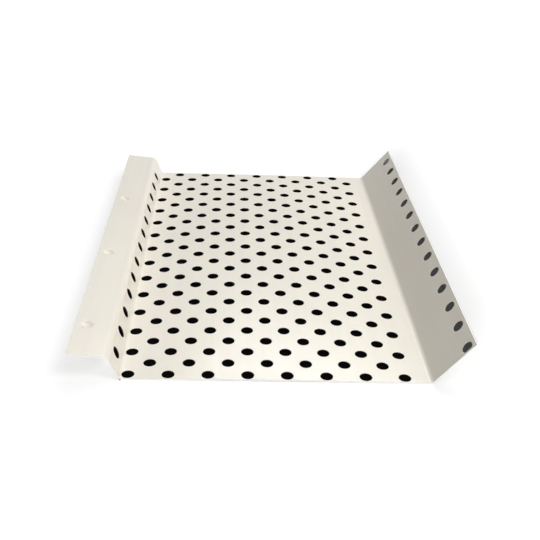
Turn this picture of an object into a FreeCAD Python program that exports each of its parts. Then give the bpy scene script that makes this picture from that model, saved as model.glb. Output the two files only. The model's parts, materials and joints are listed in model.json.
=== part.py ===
import FreeCAD, Part
import Sketcher
import math
import os

# Gutter guard: one folded strip of perforated, coated aluminium sheet, lying on its drain pan.
# +X runs across the sheet from the flange to the wall, +Y along its length, +Z up.
# The origin is under the middle of the overall box, on the underside of the pan.

# Driving sizes, in millimetres and degrees. Profile sizes follow the underside of the sheet,
# from sharp corner to sharp corner, as a folding shop gives them.
SIZES = {
    "sheet_thickness": 0.6,
    "sheet_length": 222.0,
    "base_width": 126.6,
    "web_rise": 9.7,
    "web_angle": 66.5,
    "flange_width": 15.9,
    "flange_tilt": 5.5,
    "wall_slant": 24.4,
    "wall_angle": 51.0,
    "flange_bend_radius": 2.6,
    "web_bend_radius": 1.6,
    "wall_bend_radius": 3.0,
    "hole_diameter": 5.2,
    "hole_pitch": 16.0,
    "end_ligament": 0.4,
    "pan_ligament": 0.9,
    "web_ligament": 2.2,
    "wall_ligament": 1.6,
    "plain_strip": 7.9,
    "dimple_inset": 5.0,
    "dimple_first": 23.0,
    "dimple_spacing": 66.0,
    "dimple_radius": 2.6,
    "dimple_depth": 0.8,
}

# Places and counts worked out from the driving sizes. The overall width is centred on the origin.
# A ligament is the metal left between a hole and an end of the sheet, a sharp corner or the wall's top edge.
# The plain strip is the least that the pan keeps between its holes and the wall's corner.
DERIVED = {
    "flange_reach": "flange_width * cos(flange_tilt)",
    "web_reach": "web_rise / tan(web_angle)",
    "wall_reach": "wall_slant * cos(wall_angle)",
    "overall_width": "flange_reach + web_reach + base_width + wall_reach",
    "base_left": "flange_reach + web_reach - overall_width / 2",
    "base_right": "base_left + base_width",
    "hole_radius": "hole_diameter / 2",
    "half_pitch": "hole_pitch / 2",
    "first_column": "base_left + pan_ligament + hole_radius",
    "first_row": "end_ligament + hole_radius - sheet_length / 2",
    "column_span": "base_right - plain_strip - hole_radius - first_column",
    "row_span": "-2 * first_row - half_pitch",
    "column_count": "floor(column_span / hole_pitch + 0.001) + 1",
    "row_count": "floor(row_span / hole_pitch + 0.001) + 1",
    "web_row": "web_rise / sin(web_angle) - web_ligament - hole_radius",
    "wall_row": "wall_slant - wall_ligament - hole_radius",
    "tip_rise": "web_rise + flange_width * sin(flange_tilt)",
    "dimple_x": "dimple_inset * cos(flange_tilt) - overall_width / 2",
    "dimple_z": "tip_rise - dimple_inset * sin(flange_tilt)",
    "dimple_y": "dimple_first - sheet_length / 2",
    "dimple_count": "floor((sheet_length - 2 * dimple_first) / dimple_spacing + 0.001) + 1",
    "recess_sphere": "(dimple_radius ^ 2 + dimple_depth ^ 2) / (2 * dimple_depth)",
    "bump_sphere": "recess_sphere + sheet_thickness",
    "cut_depth": "4 * sheet_thickness",
}

# Numbers by which a sketch names its two axes, and the start, end and centre of a curve.
X_AXIS, Y_AXIS = range(-1, -3, -1)
START, END, CENTRE = range(1, 4)

doc = FreeCAD.newDocument("gutter_guard")
sheet = doc.addObject("Spreadsheet::Sheet", "sizes")
for number, (name, value) in enumerate(SIZES.items(), start=1):
    sheet.set(f"A{number}", name)
    sheet.set(f"B{number}", str(value))
    sheet.setAlias(f"B{number}", name)
for number, (name, formula) in enumerate(DERIVED.items(), start=len(SIZES) + 2):
    sheet.set(f"A{number}", name)
    sheet.set(f"B{number}", "=" + formula)
    sheet.setAlias(f"B{number}", name)
doc.recompute()

body = doc.addObject("PartDesign::Body", "GutterGuard")
body.Label = "gutter_guard"


def size(name):
    """Present value of a cell of the sheet."""
    return float(getattr(sheet, name))


def origin_plane(role):
    """One of the body's own origin planes or axes, by its role."""
    return next(f for f in body.Origin.OriginFeatures if f.Role == role)


def attached_sketch(name, role):
    """A sketch on one of the body's origin planes."""
    sketch = body.newObject("Sketcher::SketchObject", name)
    sketch.AttachmentSupport = [(origin_plane(role), "")]
    sketch.MapMode = "FlatFace"
    return sketch


def offset_sketch(sketch, base, axis, angle):
    """Moves a sketch off its plane: base gives the x, y and z expressions, angle the turn about axis."""
    sketch.AttachmentOffset = FreeCAD.Placement(FreeCAD.Vector(), FreeCAD.Rotation(axis, 1.0))
    for direction, expression in zip("xyz", base):
        if expression:
            sketch.setExpression(f"AttachmentOffset.Base.{direction}", expression)
    sketch.setExpression("AttachmentOffset.Rotation.Angle", f"{angle} * 1 deg")


def constrain(sketch, name, *terms, expression):
    """Adds a named dimension to a sketch and binds it to the sheet."""
    index = sketch.addConstraint(Sketcher.Constraint(*terms))
    sketch.renameConstraint(index, name)
    sketch.setExpression(f"Constraints.{name}", expression)


def point(x, y):
    """A point in a sketch's plane."""
    return FreeCAD.Vector(x, y, 0)


def arc(centre, radius, start, end):
    """A counter-clockwise arc between two angles in degrees."""
    circle = Part.Circle(centre, FreeCAD.Vector(0, 0, 1), radius)
    return Part.ArcOfCircle(circle, math.radians(start), math.radians(end))


def heading(angle):
    """Unit vector in the sketch's plane at an angle in degrees."""
    return point(math.cos(math.radians(angle)), math.sin(math.radians(angle)))


# The folded profile, drawn across the sheet. Its two chains run from the flange's tip to the wall's tip:
# line, arc, line, arc, line, arc, line. The underside chain holds the sizes, and the upper one is parallel.
def fold_corners():
    """Sharp corners of the underside: flange tip, flange bend, web bend, wall bend, wall tip."""
    web_bend = point(size("base_left"), 0)
    wall_bend = point(size("base_right"), 0)
    flange_bend = web_bend + point(-size("web_reach"), size("web_rise"))
    flange_tip = point(-size("overall_width") / 2, size("tip_rise"))
    wall_tip = wall_bend + heading(size("wall_angle")) * size("wall_slant")
    return [flange_tip, flange_bend, web_bend, wall_bend, wall_tip]


def chain_geometry(lift):
    """Lines and arcs of one chain, a distance lift above the underside, near where they will be solved."""
    directions = [-size("flange_tilt"), -size("web_angle"), 0.0, size("wall_angle")]
    inside = [size("flange_bend_radius"), size("web_bend_radius"), size("wall_bend_radius")]
    corners = fold_corners()
    ends = [corners[0] + heading(directions[0] + 90) * lift]
    arcs = []
    for before, after, radius, corner in zip(directions, directions[1:], inside, corners[1:4]):
        turn = 1 if after > before else -1
        underside = radius + size("sheet_thickness") if turn > 0 else radius
        tangent = underside * math.tan(math.radians(abs(after - before) / 2))
        centre = corner - heading(before) * tangent + heading(before + 90 * turn) * underside
        own = underside - turn * lift
        first, last = sorted((before - 90 * turn, after - 90 * turn))
        arcs.append(arc(centre, own, first, last))
        ends += [centre + heading(before - 90 * turn) * own, centre + heading(after - 90 * turn) * own]
    ends.append(corners[4] + heading(directions[3] + 90) * lift)
    lines = [Part.LineSegment(a, b) for a, b in zip(ends[0::2], ends[1::2])]
    return lines, arcs


profile = attached_sketch("FoldProfile", "XZ_Plane")
chains = []
for lift in (0.0, size("sheet_thickness")):
    lines, arcs = chain_geometry(lift)
    chains.append((profile.addGeometry(lines), profile.addGeometry(arcs)))
(under, under_arcs), (upper, upper_arcs) = chains

# Every arc meets its two lines in a smooth bend. The flange's bend turns the other way from the two others,
# so there the arc's end is on the flange's side.
for lines, arcs in chains:
    for bend, arc_id in enumerate(arcs):
        incoming, outgoing = (END, START) if bend == 0 else (START, END)
        profile.addConstraint(Sketcher.Constraint("Tangent", lines[bend], END, arc_id, incoming))
        profile.addConstraint(Sketcher.Constraint("Tangent", arc_id, outgoing, lines[bend + 1], START))
for lower_arc, upper_arc in zip(under_arcs, upper_arcs):
    profile.addConstraint(Sketcher.Constraint("Coincident", lower_arc, CENTRE, upper_arc, CENTRE))
for lower_line, upper_line in zip(under, upper):
    profile.addConstraint(Sketcher.Constraint("Parallel", lower_line, upper_line))

# The sheet's two cut edges are square to it.
for lower_line, upper_line, place in ((under[0], upper[0], START), (under[3], upper[3], END)):
    ends = [profile.getPoint(line, place) for line in (lower_line, upper_line)]
    edge = profile.addGeometry(Part.LineSegment(*ends))
    profile.addConstraint(Sketcher.Constraint("Coincident", edge, START, lower_line, place))
    profile.addConstraint(Sketcher.Constraint("Coincident", edge, END, upper_line, place))
    profile.addConstraint(Sketcher.Constraint("Perpendicular", edge, lower_line))

# Sharp corners of the underside, which the sizes are taken between.
corner_ids = []
for bend, place in enumerate(fold_corners()[1:4]):
    corner = profile.addGeometry(Part.Point(place), True)
    profile.addConstraint(Sketcher.Constraint("PointOnObject", corner, START, under[bend]))
    profile.addConstraint(Sketcher.Constraint("PointOnObject", corner, START, under[bend + 1]))
    corner_ids.append(corner)
flange_corner, web_corner, wall_corner = corner_ids

profile.addConstraint(Sketcher.Constraint("Horizontal", under[2]))
profile.addConstraint(Sketcher.Constraint("PointOnObject", under[2], START, X_AXIS))
constrain(profile, "base_left", "DistanceX", X_AXIS, START, web_corner, START, size("base_left"),
          expression="sizes.base_left")
constrain(profile, "base_width", "DistanceX", web_corner, START, wall_corner, START, size("base_width"),
          expression="sizes.base_width")
constrain(profile, "web_rise", "DistanceY", web_corner, START, flange_corner, START, size("web_rise"),
          expression="sizes.web_rise")
constrain(profile, "flange_width", "Distance", under[0], START, flange_corner, START, size("flange_width"),
          expression="sizes.flange_width")
constrain(profile, "wall_slant", "Distance", wall_corner, START, under[3], END, size("wall_slant"),
          expression="sizes.wall_slant")
constrain(profile, "flange_tilt", "Angle", under[0], -math.radians(size("flange_tilt")),
          expression="-sizes.flange_tilt * 1 deg")
constrain(profile, "web_angle", "Angle", under[1], -math.radians(size("web_angle")),
          expression="-sizes.web_angle * 1 deg")
constrain(profile, "wall_angle", "Angle", under[3], math.radians(size("wall_angle")),
          expression="sizes.wall_angle * 1 deg")
constrain(profile, "flange_bend", "Radius", under_arcs[0], size("flange_bend_radius"),
          expression="sizes.flange_bend_radius")
constrain(profile, "web_bend", "Radius", upper_arcs[1], size("web_bend_radius"),
          expression="sizes.web_bend_radius")
constrain(profile, "wall_bend", "Radius", upper_arcs[2], size("wall_bend_radius"),
          expression="sizes.wall_bend_radius")
constrain(profile, "thickness", "DistanceY", under[2], START, upper[2], START, size("sheet_thickness"),
          expression="sizes.sheet_thickness")

folded = body.newObject("PartDesign::Pad", "FoldedSheet")
folded.Profile = profile
folded.SideType = "Symmetric"
folded.setExpression("Length", "sizes.sheet_length")
doc.recompute()


def hole_row(name, sketch, across, along):
    """Punches one round hole through the sheet from a sketch, at two places given as expressions."""
    start = point(size("first_column"), size("first_row"))
    hole = sketch.addGeometry(Part.Circle(start, FreeCAD.Vector(0, 0, 1), size("hole_radius")))
    constrain(sketch, "diameter", "Diameter", hole, size("hole_diameter"), expression="sizes.hole_diameter")
    constrain(sketch, "across", "DistanceX", X_AXIS, START, hole, CENTRE, start.x, expression=across)
    constrain(sketch, "along", "DistanceY", X_AXIS, START, hole, CENTRE, start.y, expression=along)
    punch = body.newObject("PartDesign::Pocket", name)
    punch.Profile = sketch
    punch.SideType = "Symmetric"
    punch.setExpression("Length", "sizes.cut_depth")
    doc.recompute()
    return punch


def repeat_along(name, originals, count, spacing, columns=None):
    """Repeats features along the sheet's length, and across it too where a count of columns is given."""
    pattern = body.newObject("PartDesign::LinearPattern", name)
    pattern.Originals = originals
    pattern.Direction = (origin_plane("Y_Axis"), [""])
    pattern.setExpression("Length", f"({count} - 1) * {spacing}")
    pattern.setExpression("Occurrences", count)
    if columns:
        pattern.Direction2 = (origin_plane("X_Axis"), [""])
        pattern.setExpression("Length2", f"({columns} - 1) * {spacing}")
        pattern.setExpression("Occurrences2", columns)
    body.Tip = pattern
    doc.recompute()
    return pattern


# Drain holes of the pan, in two sets of rows that are half a pitch apart both ways. The second set has one
# column less, so that both bends stay plain.
first_set = hole_row("PanHole", attached_sketch("PanHolePlace", "XY_Plane"),
                     "sizes.first_column", "sizes.first_row")
repeat_along("PanHoles", [first_set], "sizes.row_count", "sizes.hole_pitch", "sizes.column_count")
second_set = hole_row("StaggeredHole", attached_sketch("StaggeredHolePlace", "XY_Plane"),
                      "sizes.first_column + sizes.half_pitch", "sizes.first_row + sizes.half_pitch")
repeat_along("StaggeredHoles", [second_set], "sizes.row_count", "sizes.hole_pitch", "sizes.column_count - 1")

# One row of holes in the web, in step with the second set but one hole shorter, and one near the wall's top,
# in step with the first set. Each is measured up the underside of its fold from the sharp corner.
DOWN_Y = FreeCAD.Vector(0, -1, 0)
web_place = attached_sketch("WebHolePlace", "XY_Plane")
offset_sketch(web_place, ("sizes.base_left", None, None), DOWN_Y, "(180 - sizes.web_angle)")
web_hole = hole_row("WebHole", web_place, "sizes.web_row", "sizes.first_row + sizes.half_pitch")
repeat_along("WebHoles", [web_hole], "sizes.row_count - 1", "sizes.hole_pitch")
wall_place = attached_sketch("WallHolePlace", "XY_Plane")
offset_sketch(wall_place, ("sizes.base_right", None, None), DOWN_Y, "sizes.wall_angle")
wall_hole = hole_row("WallHole", wall_place, "sizes.wall_row", "sizes.first_row")
repeat_along("WallHoles", [wall_hole], "sizes.row_count", "sizes.hole_pitch")


# Dimples pressed down into the flange, which keep its thickness: a ball-shaped bump below and a recess above.
def dimple_sketch(name, sphere, level):
    """Half section of a ball's cap under a level line, on a plane across the flange at the first dimple."""
    sketch = attached_sketch(name, "XZ_Plane")
    offset_sketch(sketch, ("sizes.dimple_x", "sizes.dimple_z", "-sizes.dimple_y"), FreeCAD.Vector(0, 0, -1),
                  "sizes.flange_tilt")
    radius = size(sphere)
    top = size("sheet_thickness") if level else 0.0
    low = point(0, top - size("dimple_depth"))
    centre = low + point(0, radius)
    reach = math.sqrt(radius ** 2 - (centre.y - top) ** 2)
    rim = point(reach, top)
    rim_angle = math.degrees(math.atan2(top - centre.y, reach))
    cap = sketch.addGeometry(arc(centre, radius, -90, rim_angle))
    lid = sketch.addGeometry(Part.LineSegment(rim, point(0, top)))
    stem = sketch.addGeometry(Part.LineSegment(point(0, top), low))
    sketch.addConstraint(Sketcher.Constraint("Coincident", cap, END, lid, START))
    sketch.addConstraint(Sketcher.Constraint("Coincident", lid, END, stem, START))
    sketch.addConstraint(Sketcher.Constraint("Coincident", stem, END, cap, START))
    sketch.addConstraint(Sketcher.Constraint("Horizontal", lid))
    sketch.addConstraint(Sketcher.Constraint("PointOnObject", stem, START, Y_AXIS))
    sketch.addConstraint(Sketcher.Constraint("PointOnObject", stem, END, Y_AXIS))
    sketch.addConstraint(Sketcher.Constraint("PointOnObject", cap, CENTRE, Y_AXIS))
    constrain(sketch, "sphere", "Radius", cap, radius, expression=f"sizes.{sphere}")
    constrain(sketch, "depth", "DistanceY", stem, END, stem, START, size("dimple_depth"),
              expression="sizes.dimple_depth")
    if level:
        constrain(sketch, "level", "DistanceY", X_AXIS, START, stem, START, top,
                  expression="sizes.sheet_thickness")
    else:
        sketch.addConstraint(Sketcher.Constraint("PointOnObject", stem, START, X_AXIS))
    return sketch


def turned(kind, name, sketch):
    """A full turn of a sketch about its own upright axis."""
    feature = body.newObject(f"PartDesign::{kind}", name)
    feature.Profile = sketch
    feature.ReferenceAxis = (sketch, ["V_Axis"])
    feature.Angle = 360.0
    doc.recompute()
    return feature


bump = turned("Revolution", "DimpleBump", dimple_sketch("DimpleBumpSection", "bump_sphere", False))
recess = turned("Groove", "DimpleRecess", dimple_sketch("DimpleRecessSection", "recess_sphere", True))
repeat_along("Dimples", [bump, recess], "sizes.dimple_count", "sizes.dimple_spacing")
doc.recompute()

for item in doc.Objects:
    if {"Invalid", "Error"} & set(item.State):
        raise RuntimeError(f"{item.Label} failed: {item.State}")
if body.Shape.isNull() or not body.Shape.isValid() or len(body.Shape.Solids) != 1:
    raise RuntimeError("the gutter guard is not one valid solid")

os.makedirs("parts", exist_ok=True)
body.Shape.exportStep(f"parts/{body.Label}.step")
box = body.Shape.BoundBox
print(f"{body.Label}: {box.XLength:.2f} x {box.YLength:.2f} x {box.ZLength:.2f} mm, "
      f"volume {body.Shape.Volume:.1f} mm3, {len(body.Shape.Faces)} faces")
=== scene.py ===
"""Looks of the gutter guard: a folded strip of punched, cream-coated sheet lying on a pale floor."""
import json
import math
from functools import reduce
from itertools import product

import bpy
import numpy as np
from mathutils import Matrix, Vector
from mathutils.geometry import delaunay_2d_cdt


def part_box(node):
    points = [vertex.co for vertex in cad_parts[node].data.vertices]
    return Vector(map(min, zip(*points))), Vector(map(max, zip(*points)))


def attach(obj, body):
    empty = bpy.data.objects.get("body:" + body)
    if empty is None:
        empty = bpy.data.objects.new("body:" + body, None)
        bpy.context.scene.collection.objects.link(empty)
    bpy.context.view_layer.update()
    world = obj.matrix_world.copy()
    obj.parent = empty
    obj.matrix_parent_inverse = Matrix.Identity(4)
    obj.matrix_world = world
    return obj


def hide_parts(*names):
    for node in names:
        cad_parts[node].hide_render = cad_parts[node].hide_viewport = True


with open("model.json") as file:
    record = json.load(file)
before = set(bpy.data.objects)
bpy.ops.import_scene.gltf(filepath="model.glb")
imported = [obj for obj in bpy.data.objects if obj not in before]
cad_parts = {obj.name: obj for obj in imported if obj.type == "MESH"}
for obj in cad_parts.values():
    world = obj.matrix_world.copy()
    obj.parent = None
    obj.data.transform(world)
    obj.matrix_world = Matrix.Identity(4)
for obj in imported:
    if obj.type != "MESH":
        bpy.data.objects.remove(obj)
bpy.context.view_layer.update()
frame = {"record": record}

# Sizes in metres and radians. The length, the gauge and the holes come from the frame.
MM = 0.001
NODE = "gutter_guard"
LOW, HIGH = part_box(NODE)
LENGTH = HIGH.y - LOW.y
HALF_LENGTH = LENGTH / 2
BORE = next(mount["dims"] for mount in frame["record"]["mounts"] if mount["kind"] == "bore")
SHEET = BORE["length_mm"] * MM
HALF_SHEET = SHEET / 2
HOLE_RADIUS = BORE["r_mm"] * MM

# The fold, on the sheet's underside from sharp corner to sharp corner: flange, web, pan, wall.
FLANGE_TILT = math.radians(5.5)
WEB_ANGLE = math.radians(66.5)
WALL_ANGLE = math.radians(51.0)
WEB_RISE = 9.7 * MM
FLANGE_WIDTH = 15.9 * MM
PAN_WIDTH = 126.6 * MM
WALL_SLANT = 24.4 * MM
HEADINGS = np.array([-FLANGE_TILT, -WEB_ANGLE, 0.0, WALL_ANGLE])
SPANS = np.array([FLANGE_WIDTH, WEB_RISE / math.sin(WEB_ANGLE), PAN_WIDTH, WALL_SLANT])
BEND_RADII = np.array([2.6, 1.6, 3.0]) * MM
FLANGE, WEB, PAN, WALL = range(len(HEADINGS))

# The punched pattern.
PITCH = 16.0 * MM
END_LIGAMENT = 0.4 * MM
PAN_LIGAMENT = 0.9 * MM
WEB_LIGAMENT = 2.2 * MM
WALL_LIGAMENT = 1.6 * MM
COLUMNS = 8
ROWS = 14
FIRST_ROW = END_LIGAMENT + HOLE_RADIUS - HALF_LENGTH

# Dimples pressed into the flange.
DIMPLE_INSET = 5.0 * MM
DIMPLE_FIRST = 23.0 * MM
DIMPLE_SPACING = 66.0 * MM
DIMPLES = 3
DIMPLE_REACH = 2.6 * MM
DIMPLE_DEPTH = 0.6 * MM

# What punching and shearing leave: a rim drawn down at each hole, and eased cut edges.
RIM_WIDTH = 0.2 * MM
RIM_DROP = 0.1 * MM
BURR_EDGE = 0.04 * MM
EDGE_INSET = 0.12 * MM
EDGE_DROP = 0.06 * MM

# What folding leaves: a pan that crowns, and a slow ripple along the two free edges.
CROWN_ENDS = 0.28 * MM
CROWN_MIDDLE = 2.45 * MM
RIPPLE = 0.14 * MM
FLANGE_WAVE = 21.0 * MM
FLANGE_PHASE = 1.1
WALL_WAVE = 29.0 * MM
WALL_PHASE = 0.3

# How finely the mesh follows those shapes.
RING_POINTS = 40
RIM_STEPS = 3
DIMPLE_STEPS = 9
BEND_STEPS = (10, 8, 10)
GRID = 4.0 * MM
GRID_CLEARANCE = 0.35 * MM
MERGE_DISTANCE = 1e-5 * MM
SHARP_ANGLE = math.radians(42.0)


class Fold:
    """The sheet's middle surface: flats and bends in turn, measured along it from the flange's tip."""

    def __init__(self):
        turns = np.diff(HEADINGS)
        underside = BEND_RADII + np.where(turns > 0, SHEET, 0.0)
        self.tangents = np.concatenate([[0.0], underside * np.tan(np.abs(turns) / 2), [0.0]])
        middle = BEND_RADII + HALF_SHEET
        pieces = len(HEADINGS) + len(turns)
        lengths = np.zeros(pieces)
        lengths[0::2] = SPANS - self.tangents[:-1] - self.tangents[1:]
        lengths[1::2] = middle * np.abs(turns)
        self.stops = np.concatenate([[0.0], np.cumsum(lengths)])
        self.headings = np.repeat(HEADINGS, 2)[:pieces]
        self.curvature = np.zeros(pieces)
        self.curvature[1::2] = np.sign(turns) / middle
        tip_rise = WEB_RISE + FLANGE_WIDTH * math.sin(FLANGE_TILT)
        self.corners = np.zeros((pieces + 1, 2))
        self.corners[0] = (LOW.x + math.sin(FLANGE_TILT) * HALF_SHEET,
                           tip_rise + math.cos(FLANGE_TILT) * HALF_SHEET)
        for piece, length in enumerate(lengths):
            self.corners[piece + 1] = self.corners[piece] + self._step(piece, length)[:2]

    def _step(self, piece, distance):
        """Steps across and up, and the heading, a distance into flats or bends."""
        start, bend = self.headings[piece], self.curvature[piece]
        heading = start + bend * distance
        straight = bend == 0.0
        divisor = np.where(straight, 1.0, bend)
        across = np.where(straight, distance * np.cos(start),
                          (np.sin(heading) - np.sin(start)) / divisor)
        up = np.where(straight, distance * np.sin(start),
                      (np.cos(start) - np.cos(heading)) / divisor)
        return across, up, heading

    def flat_ends(self, flat):
        """Where a flat starts and ends along the middle surface."""
        return self.stops[2 * flat], self.stops[2 * flat + 1]

    def bend_ends(self, bend):
        """Where a bend starts and ends along the middle surface."""
        return self.stops[2 * bend + 1], self.stops[2 * bend + 2]

    def along_flat(self, flat, distance):
        """Where a distance from a flat's first sharp corner lies along the middle surface."""
        return self.stops[2 * flat] + distance - self.tangents[flat]

    def place(self, along, off):
        """Points off the middle surface: across the sheet and up."""
        piece = np.searchsorted(self.stops, along, side="right") - 1
        piece = np.clip(piece, 0, len(self.headings) - 1)
        across, up, heading = self._step(piece, along - self.stops[piece])
        return (self.corners[piece, 0] + across - off * np.sin(heading),
                self.corners[piece, 1] + up + off * np.cos(heading))


# The fold, the flat strip's width, and where the web and the wall would meet the floor without bends.
FOLD = Fold()
STRIP = FOLD.stops[-1]
WEB_FOOT = FOLD.corners[2 * PAN, 0] - FOLD.tangents[PAN]
WALL_FOOT = FOLD.corners[2 * PAN + 1, 0] + FOLD.tangents[WALL]


def hole_places():
    """Centres of all holes on the flat strip: pan, staggered pan rows, web and wall."""
    rows = FIRST_ROW + PITCH * np.arange(ROWS)
    between = rows + PITCH / 2
    columns = FOLD.along_flat(PAN, PAN_LIGAMENT + HOLE_RADIUS) + PITCH * np.arange(COLUMNS)
    web = FOLD.along_flat(WEB, WEB_LIGAMENT + HOLE_RADIUS)
    wall = FOLD.along_flat(WALL, WALL_SLANT - WALL_LIGAMENT - HOLE_RADIUS)
    patterns = ((columns, rows), (columns[:-1] + PITCH / 2, between),
                ([web], between[:-1]), ([wall], rows))
    return np.array([centre for pattern in patterns for centre in product(*pattern)])


def dimple_places():
    """Centres of the dimples on the flat strip."""
    rows = DIMPLE_FIRST - HALF_LENGTH + DIMPLE_SPACING * np.arange(DIMPLES)
    return np.column_stack([np.full(DIMPLES, DIMPLE_INSET), rows])


def rings(centres, radius):
    """A ring of points around each centre, counter-clockwise."""
    turn = np.arange(RING_POINTS) * 2 * math.pi / RING_POINTS
    circle = radius * np.column_stack([np.cos(turn), np.sin(turn)])
    return centres[:, None, :] + circle[None, :, :]


def following(loops):
    """The point that follows each point of closed loops."""
    return np.roll(loops, -1, axis=-1)


def grid_lines():
    """Grid lines of the flat strip both ways, close together in the bends and at the cut edges."""
    across = [np.array([0.0, EDGE_INSET, STRIP - EDGE_INSET, STRIP])]
    for flat in (FLANGE, WEB, PAN, WALL):
        start, end = FOLD.flat_ends(flat)
        across.append(np.linspace(start, end, round((end - start) / GRID) + 1)[1:-1])
    for bend, steps in enumerate(BEND_STEPS):
        across.append(np.linspace(*FOLD.bend_ends(bend), steps + 1))
    inner = np.linspace(-HALF_LENGTH, HALF_LENGTH, round(LENGTH / GRID) + 1)[1:-1]
    along = np.concatenate([[-HALF_LENGTH, EDGE_INSET - HALF_LENGTH], inner,
                            [HALF_LENGTH - EDGE_INSET, HALF_LENGTH]])
    return np.sort(np.concatenate(across)), along


def flat_field(holes, dimples):
    """Points of the flat strip, triangles outside its rings, the rings, and the loop round its edge."""
    across, along = grid_lines()
    cells = np.stack(np.meshgrid(across, along, indexing="ij"), axis=-1)
    clear = np.ones(cells.shape[:2], bool)
    for centres, radius in ((holes, HOLE_RADIUS + RIM_WIDTH), (dimples, DIMPLE_REACH)):
        for centre in centres:
            clear &= np.hypot(*(cells - centre).transpose(2, 0, 1)) > radius + GRID_CLEARANCE
    border = [0, 1, -2, -1]
    clear[border, :] = True
    clear[:, border] = True
    ring_sets = np.concatenate([rings(holes, HOLE_RADIUS + RIM_WIDTH), rings(dimples, DIMPLE_REACH)])
    ring_ids = np.arange(ring_sets.shape[0] * RING_POINTS).reshape(-1, RING_POINTS)
    points = np.concatenate([ring_sets.reshape(-1, 2), cells[clear]])
    index = np.zeros(clear.shape, int)
    index[clear] = ring_ids.size + np.arange(clear.sum())
    edge_loop = np.concatenate([index[:-1, 0], index[-1, :-1], index[:0:-1, -1], index[0, :0:-1]])

    # The triangles keep the rings as edges, and those that lie within one ring are left out.
    ring_edges = np.stack([ring_ids, following(ring_ids)], axis=-1).reshape(-1, 2).tolist()
    places = [Vector(place) for place in points / MM]
    whole_hull = 0
    found = delaunay_2d_cdt(places, ring_edges, [], whole_hull, MERGE_DISTANCE / MM)
    if len(found[0]) != len(points):
        raise RuntimeError("points of the flat strip fell together")
    triangles = np.array(found[2])
    no_ring = -1
    owner = np.full(len(points), no_ring)
    owner[:ring_ids.size] = np.repeat(np.arange(len(ring_ids)), RING_POINTS)
    owners = owner[triangles]
    inside = (owners[:, 0] != no_ring) & (owners == owners[:, :1]).all(axis=1)
    return points, triangles[~inside], ring_ids, edge_loop


def pressed(along, row, dimples):
    """How far the dimples and the free edges' slow ripple move the sheet off its flat."""
    moved = np.zeros(len(along))
    for centre in dimples:
        reach = np.minimum(np.hypot(along - centre[0], row - centre[1]) / DIMPLE_REACH, 1.0)
        moved -= DIMPLE_DEPTH * (1 - reach ** 2)
    flange = np.clip(1 - along / FLANGE_WIDTH, 0, 1) * np.sin(row / FLANGE_WAVE + FLANGE_PHASE)
    wall = np.clip(1 - (STRIP - along) / WALL_SLANT, 0, 1) * np.sin(row / WALL_WAVE + WALL_PHASE)
    return moved + RIPPLE * (flange + wall)


def crown(along, row):
    """Rise of the pan, which springs up between its bends."""
    start, end = FOLD.flat_ends(PAN)
    share = np.clip(1 - (2 * (along - start) / (end - start) - 1) ** 2, 0, 1)
    return share * (CROWN_ENDS + CROWN_MIDDLE * (1 - (row / HALF_LENGTH) ** 2))


class SheetMesh:
    """Collects points as places on the flat strip with a height off its middle, and faces by finish."""

    def __init__(self):
        self.points = []
        self.faces = {"coat": [], "cut": [], "punched": []}
        self.count = 0

    def add(self, places, off):
        """Adds points at one height or at a height each, and gives their numbers."""
        flat = np.asarray(places).reshape(-1, 2)
        self.points.append(np.column_stack([flat, np.broadcast_to(off, len(flat))]))
        self.count += len(flat)
        return np.arange(self.count - len(flat), self.count).reshape(np.shape(places)[:-1])

    def band(self, finish, first, second):
        """Quads between two sets of closed loops of equal shape."""
        quads = np.stack([first, following(first), following(second), second], axis=-1)
        self.faces[finish] += quads.reshape(-1, 4).tolist()

    def fan(self, finish, loops, centres):
        """Triangles from each loop to its centre."""
        tips = np.broadcast_to(centres[:, None], loops.shape)
        triangles = np.stack([loops, following(loops), tips], axis=-1)
        self.faces[finish] += triangles.reshape(-1, 3).tolist()


def sheet_mesh():
    """The whole strip as a mesh: both faces, the holes' rims and walls, the dimples and cut edges."""
    holes, dimples = hole_places(), dimple_places()
    points, triangles, ring_ids, edge_loop = flat_field(holes, dimples)
    mesh = SheetMesh()
    upper = np.full(len(points), HALF_SHEET)
    upper[edge_loop] -= EDGE_DROP
    top = mesh.add(points, upper)
    under = mesh.add(points, -upper)
    mesh.faces["coat"] += top[triangles].tolist()
    mesh.faces["coat"] += under[triangles[:, ::-1]].tolist()
    mesh.band("cut", under[edge_loop], top[edge_loop])

    # Each hole's rim is drawn down in a quarter round on top and breaks off sharp below.
    hole_rings = ring_ids[:len(holes)]
    last = top[hole_rings]
    for step in range(1, RIM_STEPS + 1):
        angle = step / RIM_STEPS * math.pi / 2
        radius = HOLE_RADIUS + RIM_WIDTH * (1 - math.sin(angle))
        ring = mesh.add(rings(holes, radius), HALF_SHEET - RIM_DROP * (1 - math.cos(angle)))
        mesh.band("coat", last, ring)
        last = ring
    lower = mesh.add(rings(holes, HOLE_RADIUS), BURR_EDGE - HALF_SHEET)
    # The holes' walls take the near-black finish, painted shade that keeps the holes dark.
    mesh.band("punched", last, lower)
    mesh.band("coat", lower, under[hole_rings])

    # Each dimple is filled with rings that close on its middle, on both faces.
    for face, height, order in ((top, HALF_SHEET, 1), (under, -HALF_SHEET, -1)):
        last = face[ring_ids[len(holes):]]
        for step in range(DIMPLE_STEPS - 1, 0, -1):
            ring = mesh.add(rings(dimples, DIMPLE_REACH * step / DIMPLE_STEPS), height)
            mesh.band("coat", last[:, ::order], ring[:, ::order])
            last = ring
        mesh.fan("coat", last[:, ::order], mesh.add(dimples, height))

    along, row, off = np.concatenate(mesh.points).T
    across, up = FOLD.place(along, off + pressed(along, row, dimples))
    return np.column_stack([across, row, up + crown(along, row)]), mesh.faces


WHITE = (1.0, 1.0, 1.0)

# The Mix node has like-named sockets for each kind of value. These are the colours' own.
MIX_COLOURS = (6, 7)
MIX_RESULT = 2


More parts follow.
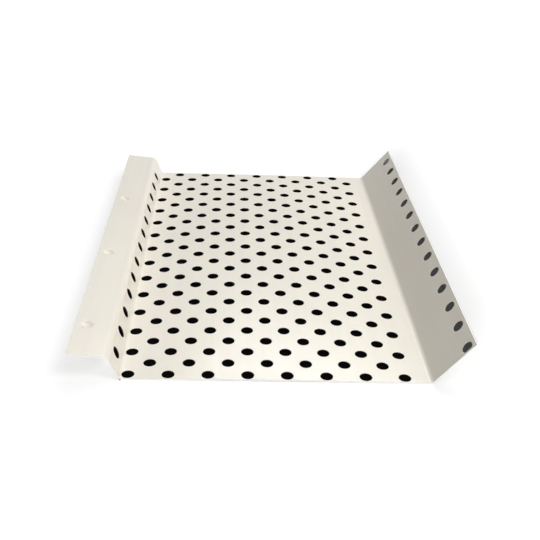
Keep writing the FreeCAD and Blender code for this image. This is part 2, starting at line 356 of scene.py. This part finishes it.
def add_object(name, data):
    """An object in the scene for a mesh, a lamp or a camera."""
    made = bpy.data.objects.new(name, data)
    bpy.context.scene.collection.objects.link(made)
    return made


def add_node(tree, kind, inputs=None, **settings):
    """A shader node with its settings, and its inputs linked or set."""
    made = tree.nodes.new(kind)
    for name, value in settings.items():
        setattr(made, name, value)
    for socket, value in (inputs or {}).items():
        if isinstance(value, bpy.types.NodeSocket):
            tree.links.new(value, made.inputs[socket])
        else:
            made.inputs[socket].default_value = value
    return made


def math_node(tree, operation, first, second):
    """One sum of two numbers or sockets."""
    return add_node(tree, "ShaderNodeMath", {0: first, 1: second}, operation=operation).outputs[0]


def combine(tree, operation, values):
    """The same sum carried through several values."""
    return reduce(lambda first, second: math_node(tree, operation, first, second), values)


def noise(tree, scale, detail=2.0, roughness=0.5, stretch=(1.0, 1.0, 1.0)):
    """Noise in the object's own place, with its scale in features for each metre."""
    place = add_node(tree, "ShaderNodeTexCoord").outputs["Object"]
    drawn = add_node(tree, "ShaderNodeVectorMath", {0: place, 1: stretch}, operation="MULTIPLY")
    inputs = {"Vector": drawn.outputs[0], "Scale": scale, "Detail": detail, "Roughness": roughness}
    return add_node(tree, "ShaderNodeTexNoise", inputs).outputs["Fac"]


def span(tree, value, given, wanted=(0.0, 1.0)):
    """Carries a value from one range to another, smoothly and within it."""
    inputs = {"Value": value, "From Min": given[0], "From Max": given[1],
              "To Min": wanted[0], "To Max": wanted[1]}
    made = add_node(tree, "ShaderNodeMapRange", inputs, interpolation_type="SMOOTHSTEP")
    return made.outputs["Result"]


def tint(tree, share, first, second):
    """A colour between two others."""
    inputs = {"Factor": share}
    for socket, colour in zip(MIX_COLOURS, (first, second)):
        inputs[socket] = colour if isinstance(colour, bpy.types.NodeSocket) else (*colour, 1.0)
    return add_node(tree, "ShaderNodeMix", inputs, data_type="RGBA").outputs[MIX_RESULT]


def new_material(name):
    """An empty node material, its tree and its output."""
    material = bpy.data.materials.new(name)
    material.use_nodes = True
    material.node_tree.nodes.clear()
    return material, material.node_tree, material.node_tree.nodes.new("ShaderNodeOutputMaterial")


def surface(tree, output, bump, inputs):
    """The shader of a solid finish with its bump."""
    normal = add_node(tree, "ShaderNodeBump", bump).outputs["Normal"]
    shader = add_node(tree, "ShaderNodeBsdfPrincipled", {**inputs, "Normal": normal})
    tree.links.new(shader.outputs["BSDF"], output.inputs["Surface"])


# The coat: its colours, its patterns, and the range of each pattern that shows.
CREAM = (0.868, 0.826, 0.718)
DRIFT_CREAM = (0.842, 0.804, 0.706)
STREAK_CREAM = (0.846, 0.79, 0.71)
SPECK_GREY = (0.52, 0.49, 0.44)
DRIFT = {"scale": 22.0, "detail": 3.0}
DRIFT_RANGE = (0.35, 0.65)
STREAKS = {"scale": 240.0, "detail": 3.0, "roughness": 0.6, "stretch": (1.0, 0.04, 1.0)}
STREAK_RANGE = (0.42, 0.7)
STREAK_SHARES = (0.0, 0.8)
SPECKS = {"scale": 420.0, "detail": 4.0, "roughness": 0.65}
SPECK_RANGE = (0.66, 0.74)
SPECK_SHARES = (0.0, 0.22)
GLOSS = {"scale": 60.0, "detail": 4.0, "roughness": 0.6}
GLOSS_RANGE = (0.3, 0.7)
COAT_ROUGHNESS = (0.17, 0.24)
COAT_SPECULAR = 0.2
PEEL_SCALE = 900.0
PEEL_STRENGTH = 0.25
PEEL_HEIGHT = 0.03 * MM


def coat_material():
    """Satin cream coil coating: drifting tint, streaks along the strip, faint specks and orange peel."""
    material, tree, output = new_material("cream_coat")
    drift = tint(tree, span(tree, noise(tree, **DRIFT), DRIFT_RANGE), CREAM, DRIFT_CREAM)
    streaks = span(tree, noise(tree, **STREAKS), STREAK_RANGE, STREAK_SHARES)
    streaked = tint(tree, streaks, drift, STREAK_CREAM)
    specks = span(tree, noise(tree, **SPECKS), SPECK_RANGE, SPECK_SHARES)
    colour = tint(tree, specks, streaked, SPECK_GREY)
    gloss = span(tree, noise(tree, **GLOSS), GLOSS_RANGE, COAT_ROUGHNESS)
    peel = {"Strength": PEEL_STRENGTH, "Distance": PEEL_HEIGHT, "Height": noise(tree, PEEL_SCALE)}
    surface(tree, output, peel, {"Base Color": colour, "Roughness": gloss,
                                 "Specular IOR Level": COAT_SPECULAR})
    return material


# Bare metal, where it was cut and where it was punched. The punched walls are near black: painted shade
# that keeps the holes dark.
CUT_COLOURS = ((0.82, 0.82, 0.81), (0.92, 0.92, 0.91))
PUNCHED_SHADE_COLOURS = ((0.03, 0.03, 0.03), (0.06, 0.06, 0.06))
GRAIN = {"scale": 2600.0, "detail": 3.0, "roughness": 0.7}
GRAIN_RANGE = (0.3, 0.7)
GRAIN_STRENGTH = 0.4
GRAIN_HEIGHT = 0.03 * MM
BARE_ROUGHNESS = (0.42, 0.6)


def bare_material(name, dark, light):
    """Bare aluminium where the sheet was sheared or punched, dull and grainy; the punched walls'
    near-black colours are painted shade.
    """
    material, tree, output = new_material(name)
    grain = noise(tree, **GRAIN)
    colour = tint(tree, span(tree, grain, GRAIN_RANGE), dark, light)
    gloss = span(tree, grain, GRAIN_RANGE, BARE_ROUGHNESS)
    bump = {"Strength": GRAIN_STRENGTH, "Distance": GRAIN_HEIGHT, "Height": grain}
    surface(tree, output, bump, {"Base Color": colour, "Roughness": gloss, "Metallic": 1.0})
    return material


def perforated_sheet():
    """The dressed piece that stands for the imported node."""
    places, faces = sheet_mesh()
    mesh = bpy.data.meshes.new("perforated_sheet")
    mesh.from_pydata(places.tolist(), [], sum(faces.values(), []))
    finish = np.repeat(np.arange(len(faces)), [len(group) for group in faces.values()])
    mesh.polygons.foreach_set("material_index", finish.astype(np.int32))
    mesh.polygons.foreach_set("use_smooth", np.ones(len(mesh.polygons), bool))
    mesh.set_sharp_from_angle(angle=SHARP_ANGLE)
    finishes = {"coat": coat_material(),
                "cut": bare_material("cut_aluminium", *CUT_COLOURS),
                "punched": bare_material("punched_aluminium_painted_shade", *PUNCHED_SHADE_COLOURS)}
    for name in faces:
        mesh.materials.append(finishes[name])
    piece = add_object("perforated_sheet", mesh)
    piece.modifiers.new("flat_shading", "WEIGHTED_NORMAL").keep_sharp = True
    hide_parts(NODE)
    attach(piece, "root")


# The floor, which shows white and keeps the guard's shadow.
FLOOR_SIZE = 8.0
FLOOR_DROP = 0.05 * MM
FLOOR_GLOW = 0.72
GLOW_NEAR = 0.16
GLOW_FAR = 0.45
FLOOR_COLOUR = (0.38, 0.38, 0.38)
BOUNCE_COLOUR = (0.8, 0.8, 0.8)

# Painted shade on the floor under and beside the guard, so that the holes read as dark openings. Ends
# slant by length over reach.
SHADE_COLOUR = (0.002, 0.002, 0.002)
SQUARE_ENDS = (0.0, 0.0)
PAN_SHADE_SOFT = 0.1 * MM
PAN_SHADE_NEAR = 0.4 * MM
PAN_SHADE_FAR = 0.6 * MM
WEB_SHADE_REACH = 6.0 * MM
WEB_SHADE_SOFT = 1.5 * MM
WEB_SHADE_SLANTS = (-2.17, 0.0)
# Outside the wall the painted shadow is near black, and a faint wide edge of painted shadow runs beyond
# it.
WALL_SHADE = 0.96
WALL_SHADE_REACH = 28.0 * MM
WALL_SHADE_SOFT = 5.0 * MM
WALL_SHADE_FAR_SOFT = 11.0 * MM
WALL_SHADE_NEAR_SOFT = 2.0 * MM
WALL_SHADE_SLANTS = (1.16, 1.95)
WALL_SHADOW_FRINGE = 0.25
WALL_SHADOW_FRINGE_WIDTH = 30.0 * MM


def shade_patch(tree, foot, slants, left, right, near, far):
    """A mask of painted shade on the floor with slanting ends. Each side runs from a bare place to one in
    full painted shade.
    """
    place = add_node(tree, "ShaderNodeNewGeometry").outputs["Position"]
    x, y = add_node(tree, "ShaderNodeSeparateXYZ", {"Vector": place}).outputs[:2]
    out = math_node(tree, "SUBTRACT", x, foot)
    ends = [math_node(tree, "SUBTRACT", y, math_node(tree, "MULTIPLY", out, slant)) for slant in slants]
    sides = zip((x, x, *ends), (left, right, near, far))
    return combine(tree, "MULTIPLY", [span(tree, value, side) for value, side in sides])


def floor_shade(tree):
    """How dark the painted shade makes the floor: under the pan, beside the web, and outside the wall,
    with a faint wide edge of painted shadow there.
    """
    near, far = -HALF_LENGTH, HALF_LENGTH
    pan_near = near + PAN_SHADE_NEAR
    pan_far = far + PAN_SHADE_FAR
    soft = PAN_SHADE_SOFT
    shade_under_pan = shade_patch(tree, WEB_FOOT, SQUARE_ENDS,
                            left=(WEB_FOOT - soft, WEB_FOOT), right=(WALL_FOOT + soft, WALL_FOOT),
                            near=(pan_near, pan_near + soft), far=(pan_far, pan_far - soft))
    reach = WEB_FOOT - WEB_SHADE_REACH
    soft = WEB_SHADE_SOFT
    shade_beside_web = shade_patch(tree, WEB_FOOT, WEB_SHADE_SLANTS,
                             left=(reach, reach + soft), right=(WEB_FOOT + soft, WEB_FOOT),
                             near=(near, near + soft), far=(far, far - soft))
    reach = WALL_FOOT + WALL_SHADE_REACH
    foot = (WALL_FOOT - PAN_SHADE_SOFT, WALL_FOOT)
    shade_outside_wall = shade_patch(tree, WALL_FOOT, WALL_SHADE_SLANTS,
                               left=foot, right=(reach, reach - WALL_SHADE_SOFT),
                               near=(near, near + WALL_SHADE_NEAR_SOFT),
                               far=(far, far - WALL_SHADE_FAR_SOFT))
    wide = WALL_SHADOW_FRINGE_WIDTH
    shadow_fringe = shade_patch(tree, WALL_FOOT, WALL_SHADE_SLANTS,
                         left=foot, right=(reach + wide, reach - wide / 2),
                         near=(near - wide, near + wide), far=(far + wide, far - wide))
    return combine(tree, "MAXIMUM", [shade_under_pan, shade_beside_web,
                                     math_node(tree, "MULTIPLY", shade_outside_wall, WALL_SHADE),
                                     math_node(tree, "MULTIPLY", shadow_fringe, WALL_SHADOW_FRINGE)])


def seen_rays(tree):
    """1 for rays that show the background: camera, glossy and transmission rays."""
    path = add_node(tree, "ShaderNodeLightPath").outputs
    kinds = ("Is Camera Ray", "Is Glossy Ray", "Is Transmission Ray")
    return combine(tree, "MAXIMUM", [path[kind] for kind in kinds])


def floor_material():
    """Plain white floor that keeps the guard's shadow, and has painted shade underneath it and beside it.
    """
    material, tree, output = new_material("floor")
    shade = floor_shade(tree)
    place = add_node(tree, "ShaderNodeNewGeometry").outputs["Position"]
    away = add_node(tree, "ShaderNodeVectorMath", {0: place}, operation="LENGTH").outputs["Value"]
    glow = span(tree, away, (GLOW_NEAR, GLOW_FAR), (FLOOR_GLOW, 1.0))
    # Painted shade darkens the floor's white and its lit colour alike.
    seen_colour = tint(tree, shade, WHITE, SHADE_COLOUR)
    seen = add_node(tree, "ShaderNodeEmission", {"Color": seen_colour, "Strength": glow})
    lit_colour = tint(tree, shade, FLOOR_COLOUR, SHADE_COLOUR)
    lit = add_node(tree, "ShaderNodeBsdfDiffuse", {"Color": lit_colour})
    both = add_node(tree, "ShaderNodeAddShader", {0: seen.outputs[0], 1: lit.outputs[0]})
    bounce = add_node(tree, "ShaderNodeBsdfDiffuse", {"Color": (*BOUNCE_COLOUR, 1.0)})
    shaders = {0: seen_rays(tree), 1: bounce.outputs[0], 2: both.outputs[0]}
    mix = add_node(tree, "ShaderNodeMixShader", shaders)
    tree.links.new(mix.outputs[0], output.inputs["Surface"])
    return material


def add_floor():
    """One large plane under the guard."""
    half = FLOOR_SIZE / 2
    mesh = bpy.data.meshes.new("floor")
    corners = [(-half, -half), (half, -half), (half, half), (-half, half)]
    mesh.from_pydata([(x, y, -FLOOR_DROP) for x, y in corners], [], [(0, 1, 2, 3)])
    mesh.materials.append(floor_material())
    floor = add_object("floor", mesh)


WORLD_LIGHT = 0.04


def add_world():
    """Even soft light from all round, and white where it shows."""
    world = bpy.data.worlds.new("studio")
    bpy.context.scene.world = world
    world.use_nodes = True
    tree = world.node_tree
    tree.nodes.clear()
    output = tree.nodes.new("ShaderNodeOutputWorld")
    strength = span(tree, seen_rays(tree), (0.0, 1.0), (WORLD_LIGHT, 1.0))
    light = add_node(tree, "ShaderNodeBackground", {"Color": (*WHITE, 1.0), "Strength": strength})
    tree.links.new(light.outputs[0], output.inputs["Surface"])


# Each lamp's place, power in watts, and width and depth.
LAMPS = {
    "key": ((0.5, -0.4, 0.9), 6.2, (0.5, 0.5)),
    "side": ((0.9, 0.5, 0.9), 4.9, (0.6, 0.6)),
    "back": ((0.0, 1.7, 1.6), 5.4, (1.2, 1.2)),
    "strip": ((0.25, 1.22, 1.18), 6.7, (0.74, 0.32)),
    "fill": ((-0.25, -0.45, 0.35), 0.46, (0.2, 0.2)),
}


def add_lamps():
    """Soft rectangular lamps that point at the middle of the guard."""
    for name, (place, power, size) in LAMPS.items():
        lamp = bpy.data.lights.new(name, "AREA")
        lamp.shape = "RECTANGLE"
        lamp.energy = power
        lamp.size, lamp.size_y = size
        holder = add_object(name, lamp)
        holder.location = place
        holder.rotation_euler = (-Vector(place)).to_track_quat("-Z", "Y").to_euler()


# The camera, with its lens and sensor in millimetres as Blender has them.
CAMERA_PLACE = (-18.51 * MM, -387.42 * MM, 197.5 * MM)
CAMERA_TURN = tuple(math.radians(angle) for angle in (62.043, -2.424, -1.994))
CAMERA_LENS = 56.087
CAMERA_SENSOR = 36.0
CAMERA_CLIP = 10.0 * MM


def add_camera():
    """The photograph's view."""
    camera = bpy.data.cameras.new("camera")
    camera.sensor_width = CAMERA_SENSOR
    camera.lens = CAMERA_LENS
    camera.clip_start = CAMERA_CLIP
    holder = add_object("camera", camera)
    holder.location = CAMERA_PLACE
    holder.rotation_euler = CAMERA_TURN
    bpy.context.scene.camera = holder


perforated_sheet()
add_floor()
add_world()
add_lamps()
add_camera()
bpy.context.scene.view_settings.view_transform = "Standard"
